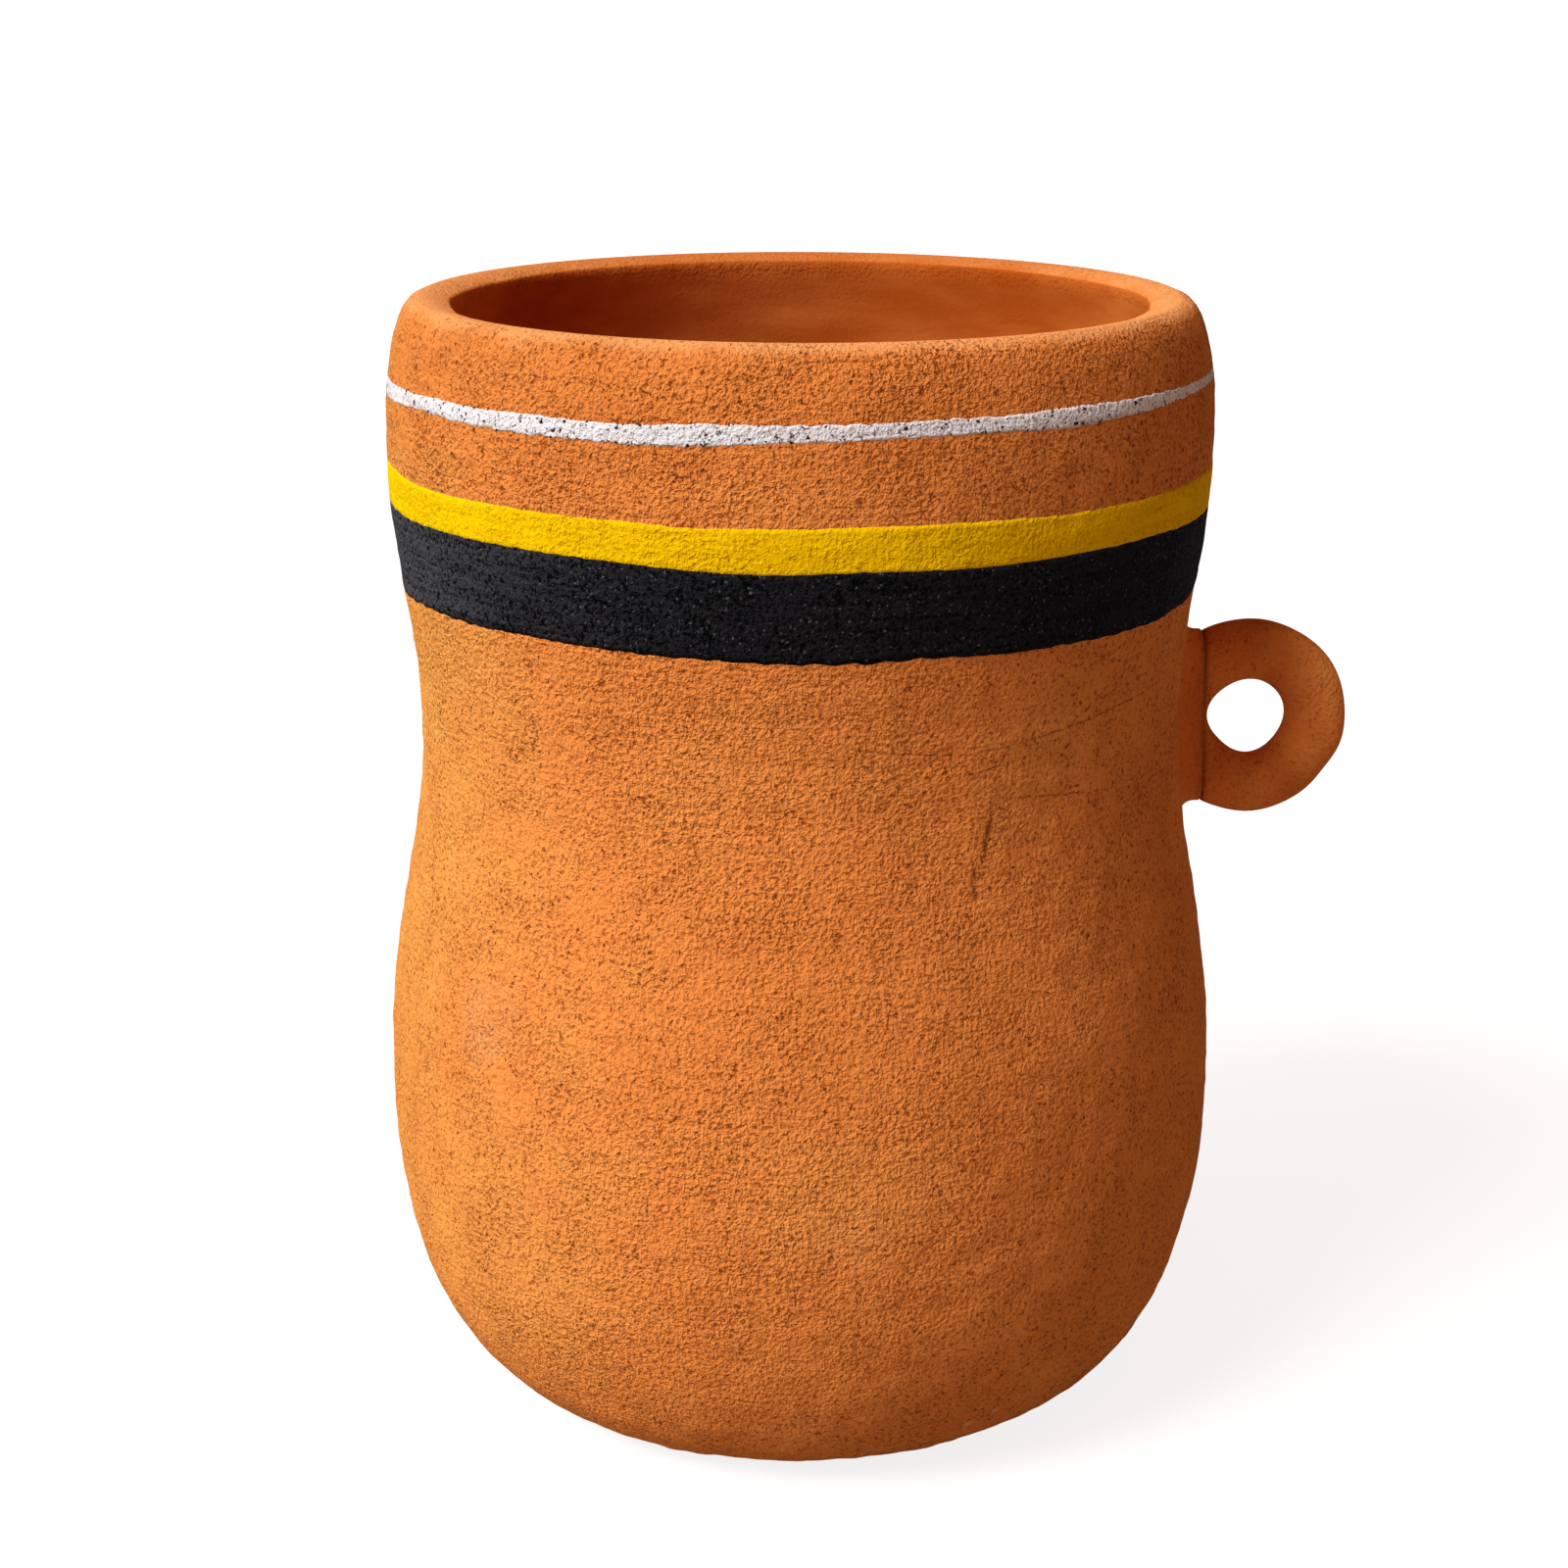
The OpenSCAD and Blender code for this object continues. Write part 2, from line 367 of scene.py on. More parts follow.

# %% [markdown]
# Four numbers at each point tell the material how the clay was worked and fired,
# and where light and shade are painted into its colour. Grit is how coarse it is.
# Lined is 1 on the lining, in the drain hole and under the foot, and lip is 1 on
# the wiped crest of the lip. Tone is how pale the clay is drawn: paler in a patch
# in front; paler opposite the ring, on the lit side, and a little at the waist,
# which faces down, as painted light; browner beside the ring, in its shade, as
# painted shade; and darker at the lip and most of all on the lip's back edge.

# %% The pot's marks and its mesh
wipe_wander = ripples(turn, 0, 40 * mm, 8 * mm, 20, seed=15, most_lean=1)
wiped_from = pot_h - 2.4 * mm + 0.4 * mm * wipe_wander
wiped = ramp(rise, wiped_from, wiped_from + 1.5 * mm)
seat_w, seat_h = 9, 27 * mm
beside_ring = bump_at(turn, 0, seat_w) * np.exp(-((rise - waist_z) / seat_h) ** 4)
smooth_lip, smooth_seat, coarse_top = 0.5, 0.85, 0.3
rough_wall = (1 - smooth_lip * wiped) * (1 - smooth_seat * beside_ring)
rough_wall = rough_wall * (1 + coarse_top * ramp(rise, 250 * mm, 265 * mm))
grit = np.where(outside, rough_wall, section_grit)
at_back = bump_at(turn, 90, 60)
lined = np.where(outside | (rise > edge_z - 0.4 * mm), 0.0, 1.0)
lined = np.maximum(lined, 0.5 * at_back * in_mouth ** 2)
lip = wiped * (1 - lined) * (1 - 0.6 * at_back)
# Painted light: paler opposite the ring, on the side the lamps light, and at the waist, which faces down.
# Painted shade: browner beside the ring.
painted_side_light, painted_waist_light, pale_patch = 0.25, 0.08, 0.12
painted_seat_shade, brown_lip, brown_edge = 0.15, 0.15, 0.6
tone = painted_side_light * bump_at(turn, 180, 55) + painted_waist_light * bell(rise, 200 * mm, 32 * mm)
tone = tone + pale_patch * bump_at(turn, -84, 11) * bell(rise, 85 * mm, 8 * mm)
tone = tone - painted_seat_shade * beside_ring - brown_lip * ramp(rise, 262 * mm, 282 * mm)
tone = tone - brown_edge * at_back * in_mouth ** 2
pot = add_piece(
    "terracotta_pot",
    np.stack([radius * np.cos(turn), radius * np.sin(turn), height], axis=-1),
    {"grit": grit, "lined": lined, "lip": lip, "tone": tone},
)
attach(pot, "root")
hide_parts("pot_body")

# %% [markdown]
# ## Bands of slip
#
# Slip is clay thinned with water and stained. Brushed on while the pot turns, it
# goes on as a coat a fraction of a millimetre thick, and its edges wander with
# the hand and fray at the pits of the wall. Each band is a thin closed strip
# that lies on the wall's own unevenness.

# %% A point of the wall
outer_at = arc_length(outer_line)
outer_normal = outward(outer_line)
under_skin = 0.25 * mm
band_turn = np.linspace(-np.pi, np.pi, 1500, endpoint=False)[None, :]


def on_wall(turn, level, lift):
    """The point of the uneven outer wall at an angle and a level, lifted along the normal."""
    at = np.interp(level, outer_line[:, 1], outer_at)
    out = [np.interp(level, outer_line[:, 1], outer_normal[:, axis]) for axis in (0, 1)]
    stray = unevenness(turn, at) + lift
    radius = np.interp(level, outer_line[:, 1], outer_line[:, 0]) + out[0] * stray
    return np.stack([radius * np.cos(turn), radius * np.sin(turn), level + out[1] * stray], axis=-1)


# %% The edge of a band
def brushed_edge(level, tilt_mm, swells, wobble_mm, fray_mm, seed):
    """A band's edge as a height for each angle: level + tilt cos(angle) + swells + stray.

    Each swell is (direction, width, rise), in degrees, degrees and millimetres. The
    stray is slow waves of the hand, and quick ones where the brush frays at the grog.
    """
    slow = ripples(band_turn, 0, 110 * mm, 22 * mm, 14, seed, most_lean=1)
    quick = ripples(band_turn, 0, 9 * mm, 1.4 * mm, 160, seed + 1, most_lean=1)
    edge_mm = tilt_mm * np.cos(band_turn) + wobble_mm * slow + fray_mm * quick
    for direction, width, rise_mm in swells:
        edge_mm = edge_mm + rise_mm * bump_at(band_turn, direction, width)
    return level + mm * edge_mm


# %% A strip between two edges
def add_band(name, below, above, rows, coat):
    """A closed strip between two edges, which are heights for each angle.

    Its section runs up the outside of the coat, thinner at both edges, and back
    down just under the skin of the clay. edge is 1 at its edges and 0 inside, and
    the side mark is 1 on the lit side opposite the ring, where the slip's colour is
    painted light.
    """
    edge_coat, coat_round, edge_w = 0.35, 0.6 * mm, 1.6 * mm
    share = np.linspace(0, 1, rows)[:, None]
    level = below + (above - below) * share
    width = (above - below).mean()
    rim = np.minimum(share, 1 - share) * width
    lift = coat * np.clip(edge_coat + rim / coat_round, 0, 1) + 0 * level
    face = on_wall(band_turn, level, lift)
    back = on_wall(band_turn, level, -under_skin)[::-1]
    edge = 1 - ramp(rim, 0, edge_w) + 0 * level
    # Painted light: 1 on the lit side opposite the ring, where the slips take a colour of painted light.
    dust = bump_at(band_turn, -175, 40) + 0 * level
    return add_piece(name, np.concatenate([face, back]), {
        "edge": np.concatenate([edge, edge]), "dust": np.concatenate([dust, dust]),
    })


print(f"{band_turn.size} points round each band, rooted {1000 * under_skin:.2f} mm under the skin")

# %% [markdown]
# The white line was done freehand, and climbs towards the ring. It is thickest
# where the full brush first touched the clay, in front and to the left.

# %% The three bands
white_low, white_high = 279.2 * mm, 283.1 * mm
yellow_low, yellow_high = (corner.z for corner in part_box("yellow_band"))
black_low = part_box("black_band")[0].z
thin_coat, full_coat, overlap = 0.1 * mm, 0.16 * mm, 0.6 * mm
white_below = brushed_edge(
    white_low, 2.0, [(-113, 15, -0.8), (-55, 10, -1.0), (-148, 10, 0.8)],
    wobble_mm=0.15, fray_mm=0.13, seed=21,
)
white_above = brushed_edge(
    white_high, 1.45, [(-22, 16, -1.0)],
    wobble_mm=0.15, fray_mm=0.1, seed=23,
)
yellow_above = brushed_edge(yellow_high, -0.3, [], wobble_mm=0.2, fray_mm=0.06, seed=25)
meeting = brushed_edge(
    yellow_low, -0.5, [(-97, 9, -0.7), (-45, 14, 0.6), (-123, 20, 1.1)],
    wobble_mm=0.12, fray_mm=0.06, seed=27,
)
black_below = brushed_edge(
    black_low, -1.0, [(-168, 13, -1.7), (-128, 12, 0.5)],
    wobble_mm=0.18, fray_mm=0.1, seed=29,
)
white_band = add_band("white_slip_line", white_below, white_above, rows=8, coat=thin_coat)
yellow_band = add_band("yellow_slip_band", meeting - overlap, yellow_above, rows=10, coat=thin_coat)
black_band = add_band("black_slip_band", black_below, meeting, rows=16, coat=full_coat)
for piece, node, slot in (
    (white_band, "white_band", "white_slip"),
    (yellow_band, "yellow_band", "yellow_slip"),
    (black_band, "black_band", "black_slip"),
):
    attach(piece, "root")
    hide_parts(node)

# %% [markdown]
# ## The ring lug
#
# The ring is a coil of clay bent round a finger. Its eye is a little angular and
# its outside has two flats where it was held and laid down to dry. It is a torus
# whose section is flattened, with both radii changed slowly round the ring, and
# the side towards the pot is pressed flat against the seam. The waves of ripples
# are counted for the pot's girth, so on this small ring they come out more than
# five times shorter, and their lengths are written longer.

# %% The ring
eye = mounts["ring_eye"]
ring_x, _, ring_z = eye["pos_m"]
eye_r = eye["dims"]["r_mm"] * mm
coil_half, coil_depth = 8.6 * mm, 6.8 * mm
coil_r = eye_r + coil_half - 0.6 * mm
seam_x, seam_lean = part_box("ring_lug")[0].x, 0.02
crease_shade_w = 0.9 * mm
ring_grit, luting_grit = 0.5, 0.4


def soft_floor(value, floor, softness):
    """value where it is well above floor, floor where it is below, and rounded between.

    That is floor + softness / 2 log(1 + exp(2 gap)), where gap is (value - floor) / softness.
    """
    gap = (value - floor) / softness
    return floor + softness * np.logaddexp(0, gap * 2) / 2


around = np.linspace(np.pi, -np.pi, 300, endpoint=False)[None, :]
across = np.linspace(-np.pi, np.pi, 96, endpoint=False)[:, None]
inner_r = eye_r * (1 + 0.028 * np.cos(3 * around + 3.93) + 0.018 * np.cos(4 * around))
low_flat, high_flat = 0.6 * mm * bump_at(around, -33, 13), 0.3 * mm * bump_at(around, 100, 25)
outer_r = coil_r + coil_half - low_flat - high_flat
outer_r = outer_r + 0.12 * mm * ripples(around, 0, 160 * mm, 60 * mm, 8, seed=31, most_lean=1)
middle, half = (outer_r + inner_r) / 2, (outer_r - inner_r) / 2
lumps = 1 + 0.018 * ripples(around, across * 12 * mm, 200 * mm, 70 * mm, 20, seed=33)
ring_r = middle + half * np.cos(across) * np.ones_like(around)
depth = coil_depth * np.sign(np.sin(across)) * np.abs(np.sin(across)) ** 0.9 * lumps
x = ring_x + ring_r * np.cos(around)
z = ring_z + ring_r * np.sin(around)
seam = seam_x - seam_lean * (z - ring_z)
# Painted shade: the crease at the seam is drawn darker in the colour.
crease = bell(np.maximum(x - seam, 0), 0, crease_shade_w)
x = soft_floor(x, seam, 0.35 * mm)
smudges = 0.15 * ripples(around, 60 * mm * np.sin(across + 0.8), 240 * mm, 60 * mm, 40, seed=35)
# The ring's tone is its smudges, made 0.12 darker all over as painted shade.
ring = add_piece(
    "terracotta_ring",
    np.stack([x, depth + 0 * x, z], axis=-1),
    {"grit": np.full_like(x, ring_grit), "crease": crease, "tone": smudges - 0.12},
)

# %% [markdown]
# ## The luting
#
# Luting is soft clay worked in between two leather-hard pieces to join them. It
# shows as a smooth pad that feathers into the wall, with a crease where the ring
# begins. It is a set of rings round one upright outline: they rise out of the
# wall on a hollow curve, turn over at the seam and close on its middle.

# %% The outline of the pad
pad_half_h, pad_half_w = 24 * mm, 8 * mm
feather, pad_round = 4.5 * mm, 0.9 * mm


def pad_outline(angle, half_w, half_h):
    """An upright outline with round ends: a circle of radius half_w, its halves drawn apart.

    The tanh moves the upper half up and the lower half down, with a smooth change between.
    """
    y = half_w * np.sin(angle)
    z = half_w * np.cos(angle) + (half_h - half_w) * np.tanh(4 * np.cos(angle))
    return y, z


def quarter(count):
    """Angles of a quarter turn, as a column."""
    return np.linspace(0, np.pi / 2, count)[:, None]


# %% The pad from rings
pad_angle = np.linspace(np.pi, -np.pi, 240, endpoint=False)[None, :]
on_feather, on_round, on_top = quarter(14), quarter(7), np.linspace(1, 0.1, 12)[1:, None]
grow = np.concatenate([
    feather + 0 * on_feather[:1],
    feather * (1 - np.sin(on_feather)),
    -pad_round * (1 - np.cos(on_round)),
    (pad_half_w - pad_round) * on_top - pad_half_w,
])
pad_y, pad_z = pad_outline(pad_angle, pad_half_w + grow, pad_half_h + np.maximum(grow, -pad_round))
wall_here = np.interp(ring_z + pad_z, outer_line[:, 1], outer_line[:, 0])
wall_x = np.sqrt(wall_here ** 2 - pad_y ** 2)
pad_root, sunk = 6 * mm, 0.5 * mm
from_wall = np.concatenate([-pad_root + 0 * on_feather[:1], feather * (1 - np.cos(on_feather)) - sunk])
from_top = np.concatenate([pad_round * (np.sin(on_round) - 1), 0 * on_top])
pad_top_x = seam_x - 0.1 * mm - seam_lean * pad_z
pad_x = np.concatenate([
    wall_x[:len(from_wall)] + from_wall,
    pad_top_x[len(from_wall):] + from_top,
])
# Painted shade: the crease at the top of the pad is drawn darker in the colour.
pad_crease_shade = bell(pad_x, pad_top_x, crease_shade_w)
# The luting's tone is browner all over, by the same painted shade as the wall beside the ring.
luting = add_piece(
    "terracotta_luting",
    np.stack([pad_x, pad_y, ring_z + pad_z], axis=-1),
    {
        "grit": np.full_like(pad_x, luting_grit),
        "crease": pad_crease_shade,
        "tone": np.full_like(pad_x, -painted_seat_shade),
    },
    capped=True,
)
for piece, node in ((ring, "ring_lug"), (luting, "lug_luting")):
    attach(piece, "root")
    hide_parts(node)

# %% [markdown]
# ## Materials
#
# All of the finishes are node trees. One helper adds a node, sets it up and
# links it. Colours are written as sRGB hex values, as a colour picker gives
# them, and one function turns them into the linear values that shaders expect.


# %% Helpers for node trees
def linear(hex_colour):
    """Linear RGBA of an sRGB colour such as "#E08840": the sRGB curve undone for each channel."""
    channels = np.array([int(hex_colour[i:i + 2], 16) for i in (1, 3, 5)]) / 255
    low, high = channels / 12.92, ((channels + 0.055) / 1.055) ** 2.4
    return (*np.where(channels <= 0.04045, low, high), 1.0)


def add_node(tree, kind, inputs=None, **settings):
    """Adds a node. inputs gives sockets, by name or number, a value or another node's output."""
    made = tree.nodes.new(kind)
    for name, value in settings.items():
        setattr(made, name, value)
    for socket, value in (inputs or {}).items():
        if isinstance(value, bpy.types.NodeSocket):
            tree.links.new(value, made.inputs[socket])
        else:
            made.inputs[socket].default_value = value
    return made


def new_material(name):
    """An empty material and its node tree."""
    material = bpy.data.materials.new(name)
    material.use_nodes = True
    material.node_tree.nodes.clear()
    return material, material.node_tree


def per(size_mm):
    """The scale that makes a pattern on metre coordinates repeat about every size_mm."""
    return 1000 / size_mm


print(f"sRGB #808080 is {linear('#808080')[0]:.2f} in linear light")


# %% Parts that node trees share
def add_matte_surface(tree, colour, height_mm, shine):
    """Ends a tree with a dry, matte, dusty surface of a colour and a relief in millimetres."""
    relief = add_node(tree, "ShaderNodeBump", {
        "Height": height_mm, "Distance": mm, "Strength": 1.0,
    }).outputs[0]
    surface = add_node(tree, "ShaderNodeBsdfPrincipled", {
        "Base Color": colour, "Roughness": 0.95, "Diffuse Roughness": 0.3,
        "Specular IOR Level": shine, "Normal": relief,
    }).outputs[0]
    add_node(tree, "ShaderNodeOutputMaterial", {"Surface": surface})


def add_seen_directly(tree):
    """1 for rays from the camera, reflections and glass, and 0 for the light that bounces."""
    ray = add_node(tree, "ShaderNodeLightPath").outputs
    seen = ray["Is Camera Ray"]
    for kind in ("Is Glossy Ray", "Is Transmission Ray"):
        seen = add_node(tree, "ShaderNodeMath", {
            0: seen, 1: ray[kind],
        }, operation="ADD", use_clamp=True).outputs[0]
    return seen


# %% [markdown]
# ## The grog
#
# Grog is fired clay that was crushed and mixed in. Where a scraper drags a grain
# through the surface it leaves a raised speck or a torn pit, about a millimetre
# wide, in ground that is only a little sandy. Real grains lie all through the
# clay, and the wall cuts some of them. The points of a 3-D Voronoi pattern do the
# same: where the surface passes close to one it cuts a spot, so the spots come in
# all sizes up to one radius. The walls between the cells of such a pattern, bent
# by a finer noise and broken into short lengths, are the tears between grains.
# Slow patches of noise crowd the pits together and leave calmer ground between.
# All pieces share them, so a pit that runs under the edge of a band carries on in
# the slip.


# %% Spots cut from grains
def add_spots(tree, place, crowding, grit, apart_mm, radius_mm, shift_mm):
    """Adds spots, 0 to grit, where the surface cuts balls that lie about apart_mm apart.

    Crowding, where it is below 0, makes them larger. The shift moves the pattern, which
    gives each kind of spot places of its own.
    """
    moved = add_node(tree, "ShaderNodeVectorMath", {
        0: place, 1: (shift_mm * mm, 0, 0),
    }, operation="ADD").outputs[0]
    near = add_node(tree, "ShaderNodeTexVoronoi", {
        "Vector": moved, "Scale": per(apart_mm),
    }).outputs["Distance"]
    near = add_node(tree, "ShaderNodeMath", {0: near, 1: crowding}, operation="ADD").outputs[0]
    reach = radius_mm / apart_mm
    spots = add_node(tree, "ShaderNodeMapRange", {
        "Value": near, "From Min": reach, "From Max": 0.5 * reach,
    }, interpolation_type="SMOOTHSTEP").outputs[0]
    return add_node(tree, "ShaderNodeMath", {0: spots, 1: grit}, operation="MULTIPLY").outputs[0]


# %% Tears between the grains
def add_tears(tree, place, bent, grit, others):
    """Adds tears, 0 to 1, to other marks: walls between cells, kept where a noise is high."""
    between = add_node(tree, "ShaderNodeTexVoronoi", {
        "Vector": bent, "Scale": per(2.4),
    }, feature="DISTANCE_TO_EDGE").outputs["Distance"]
    tears = add_node(tree, "ShaderNodeMapRange", {
        "Value": between, "From Min": 0.11, "From Max": 0.02,
    }, interpolation_type="SMOOTHSTEP").outputs[0]
    clumps = add_node(tree, "ShaderNodeTexNoise", {
        "Vector": place, "Scale": per(1.7), "Detail": 1.0,
    }).outputs[0]
    clumped = add_node(tree, "ShaderNodeMapRange", {
        "Value": clumps, "From Min": 0.59, "From Max": 0.7, "To Max": grit,
    }).outputs[0]
    return add_node(tree, "ShaderNodeMath", {
        0: tears, 1: clumped, 2: others,
    }, operation="MULTIPLY_ADD", use_clamp=True).outputs[0]


# %% Strokes of the scraper
def add_strokes(tree, place, squeeze, turned, apart_mm, depth_mm, height):
    """Adds strokes to a height: a noise on squeezed coordinates, long where they are squeezed.

    They are then turned by an angle in degrees, which leaves the strokes level or
    upright and only gives each kind a part of the noise for itself.
    """
    dragged = add_node(tree, "ShaderNodeMapping", {
        "Vector": place, "Rotation": (0.0, math.radians(turned), 0.0), "Scale": squeeze,
    }).outputs[0]
    strokes = add_node(tree, "ShaderNodeTexNoise", {
        "Vector": dragged, "Scale": per(apart_mm), "Detail": 2.0, "Roughness": 0.6,
    }).outputs[0]
    return add_node(tree, "ShaderNodeMath", {
        0: strokes, 1: depth_mm, 2: height,
    }, operation="MULTIPLY_ADD").outputs[0]


# %% [markdown]
# The whole relief is the sand and the strokes, both rougher in the coarse patches,
# with the grains, pits and tears added. A noise lies about one half on average,
# so half of each noise's depth is taken off first, and the ground stays at zero
# where the clay grows smoother.


# %% Relief of the clay
def grog_relief(tree, grit):
    """Adds the scraped clay, for a grit that is a number or another node's output.

    Gives its height in millimetres, its hollows as painted shade, and its pits, deep
    pits and grains, each from 0 to about 1.
    """
    place = add_node(tree, "ShaderNodeTexCoord").outputs["Object"]
    patches = add_node(tree, "ShaderNodeTexNoise", {
        "Vector": place, "Scale": per(17), "Detail": 2.0, "Roughness": 0.6,
    }).outputs[0]
    crowding = add_node(tree, "ShaderNodeMath", {
        0: patches, 1: -0.2, 2: 0.1,
    }, operation="MULTIPLY_ADD").outputs[0]
    coarse = add_node(tree, "ShaderNodeMapRange", {
        "Value": patches, "From Min": 0.35, "From Max": 0.65, "To Min": 0.7, "To Max": 1.2,
    }).outputs[0]
    coarse = add_node(tree, "ShaderNodeMath", {0: coarse, 1: grit}, operation="MULTIPLY").outputs[0]
    bend = add_node(tree, "ShaderNodeTexNoise", {
        "Vector": place, "Scale": per(0.9), "Detail": 1.0,
    }).outputs[1]
    bent = add_node(tree, "ShaderNodeVectorMath", {
        0: bend, 1: (1.2 * mm,) * 3, 2: place,
    }, operation="MULTIPLY_ADD").outputs[0]
    pits, deep_pits, grains = (
        add_spots(tree, bent, crowding, grit, apart_mm, radius_mm, shift_mm)
        for apart_mm, radius_mm, shift_mm in ((1.4, 0.36, 0), (3.1, 0.52, 40), (1.7, 0.4, 80))
    )
    deep_pits = add_tears(tree, place, bent, grit, deep_pits)
    sand = add_node(tree, "ShaderNodeTexNoise", {
        "Vector": place, "Scale": per(1.15), "Detail": 2.0, "Roughness": 0.6,
    }).outputs[0]
    # Painted shade: the low ground of the sand, which the materials draw darker.
    hollow_shade = add_node(tree, "ShaderNodeMapRange", {
        "Value": sand, "From Min": 0.475, "From Max": 0.35, "To Max": coarse,
    }).outputs[0]
    sand_mm, strokes_mm, drags_mm = 1.6, 0.6, 0.5
    height = -0.5 * (sand_mm + strokes_mm + drags_mm)
    height = add_strokes(tree, place, (0.05, 0.05, 1.0), 5, 2.4, strokes_mm, height)
    height = add_strokes(tree, place, (1.0, 1.0, 0.15), -8, 1.5, drags_mm, height)
    height = add_node(tree, "ShaderNodeMath", {
        0: sand, 1: sand_mm, 2: height,
    }, operation="MULTIPLY_ADD").outputs[0]
    height = add_node(tree, "ShaderNodeMath", {0: height, 1: coarse}, operation="MULTIPLY").outputs[0]
    for part, depth_mm in ((grains, 0.2), (pits, -0.2), (deep_pits, -0.35)):
        height = add_node(tree, "ShaderNodeMath", {
            0: part, 1: depth_mm, 2: height,
        }, operation="MULTIPLY_ADD").outputs[0]
    return height, hollow_shade, pits, deep_pits, grains


# %% [markdown]
# ## Scratches
#
# A few long scratches cross the wall, where a hard grain caught on the scraper,
# and two short gouges run down it. A scratch is easy to draw on the unrolled
# wall: across is how far a point lies from the scratch's own gentle curve, and
# along says where the scratch begins and ends.


# %% The unrolled wall
def add_unrolled_wall(tree, place):
    """Adds millimetres round the waist, from the camera's side to its right, and up the wall."""
    x, y, z = add_node(tree, "ShaderNodeSeparateXYZ", {0: place}).outputs
    in_front = add_node(tree, "ShaderNodeMath", {0: y, 1: -1.0}, operation="MULTIPLY").outputs[0]
    angle = add_node(tree, "ShaderNodeMath", {0: x, 1: in_front}, operation="ARCTAN2").outputs[0]
    around_mm = add_node(tree, "ShaderNodeMath", {
        0: angle, 1: waist_r / mm,
    }, operation="MULTIPLY").outputs[0]
    up_mm = add_node(tree, "ShaderNodeMath", {0: z, 1: 1 / mm}, operation="MULTIPLY").outputs[0]
    return around_mm, up_mm


# %% Scratches on the unrolled wall
def add_scratches(tree, scratches, width_mm):
    """Adds up the depths, 0 to 1, of scratches around (or, where upright, up) the wall.

    Each is (upright, middle, half_length, offset, slope, bend), in millimetres on the
    unrolled wall: at t from its middle it lies at offset + slope t + bend t^2. A
    noise makes its line ragged and breaks it here and there.
    """
    place = add_node(tree, "ShaderNodeTexCoord").outputs["Object"]
    around_mm, up_mm = add_unrolled_wall(tree, place)
    ragged = add_node(tree, "ShaderNodeTexNoise", {
        "Vector": place, "Scale": per(2.2), "Detail": 2.0,
    }).outputs[0]
    ragged_mm, total = 1.2, 0.0
    for upright, middle, half_length, offset, slope, bend in scratches:
        along, across = (up_mm, around_mm) if upright else (around_mm, up_mm)
        t = add_node(tree, "ShaderNodeMath", {0: along, 1: middle}, operation="SUBTRACT").outputs[0]
        curve = add_node(tree, "ShaderNodeMath", {
            0: t, 1: bend, 2: slope,
        }, operation="MULTIPLY_ADD").outputs[0]
        curve = add_node(tree, "ShaderNodeMath", {
            0: t, 1: curve, 2: offset,
        }, operation="MULTIPLY_ADD").outputs[0]
        curve = add_node(tree, "ShaderNodeMath", {
            0: ragged, 1: ragged_mm, 2: curve,
        }, operation="MULTIPLY_ADD").outputs[0]
        gap = add_node(tree, "ShaderNodeMath", {0: across, 1: curve}, operation="SUBTRACT").outputs[0]
        gap = add_node(tree, "ShaderNodeMath", {0: gap}, operation="ABSOLUTE").outputs[0]
        depth = add_node(tree, "ShaderNodeMapRange", {
            "Value": gap, "From Min": width_mm, "From Max": 0.0,
        }, interpolation_type="SMOOTHSTEP").outputs[0]
        reach = add_node(tree, "ShaderNodeMath", {0: t}, operation="ABSOLUTE").outputs[0]
        ends = add_node(tree, "ShaderNodeMapRange", {
            "Value": reach, "From Min": half_length, "From Max": 0.6 * half_length,
        }, interpolation_type="SMOOTHSTEP").outputs[0]
        total = add_node(tree, "ShaderNodeMath", {
            0: depth, 1: ends, 2: total,
        }, operation="MULTIPLY_ADD", use_clamp=True).outputs[0]
    unbroken = add_node(tree, "ShaderNodeMapRange", {
        "Value": ragged, "From Min": 0.36, "From Max": 0.54,
    }).outputs[0]
    return add_node(tree, "ShaderNodeMath", {0: total, 1: unbroken}, operation="MULTIPLY").outputs[0]


# %% Where the scratches lie
fine_scratches = [
    (False, 26.0, 18.0, 202.3, -0.12, 0.001),
    (False, 76.0, 40.0, 204.1, 0.1, 0.0),
    (False, 45.0, 7.0, 196.1, 0.13, 0.0),
    (False, 70.0, 20.0, 186.3, -0.12, 0.0),
    (False, 8.0, 10.0, 296.3, 0.02, 0.0),
    (True, 177.0, 8.0, 69.4, -0.25, 0.0),
]
gouges = [
    (True, 180.5, 8.0, 46.4, 0.21, 0.0),
    (True, 169.0, 5.0, 42.8, 0.05, 0.0),
]
print(f"{len(fine_scratches)} scratches and {len(gouges)} gouges")

# %% [markdown]
# ## Bloom
#
# Salts in the clay come out with the water and dry as a thin pale bloom, here in
# a cloud on the left of the belly, a fainter one in front and a few specks near
# the foot. Each is a ball in space round a point of the wall, broken up by a
# noise.


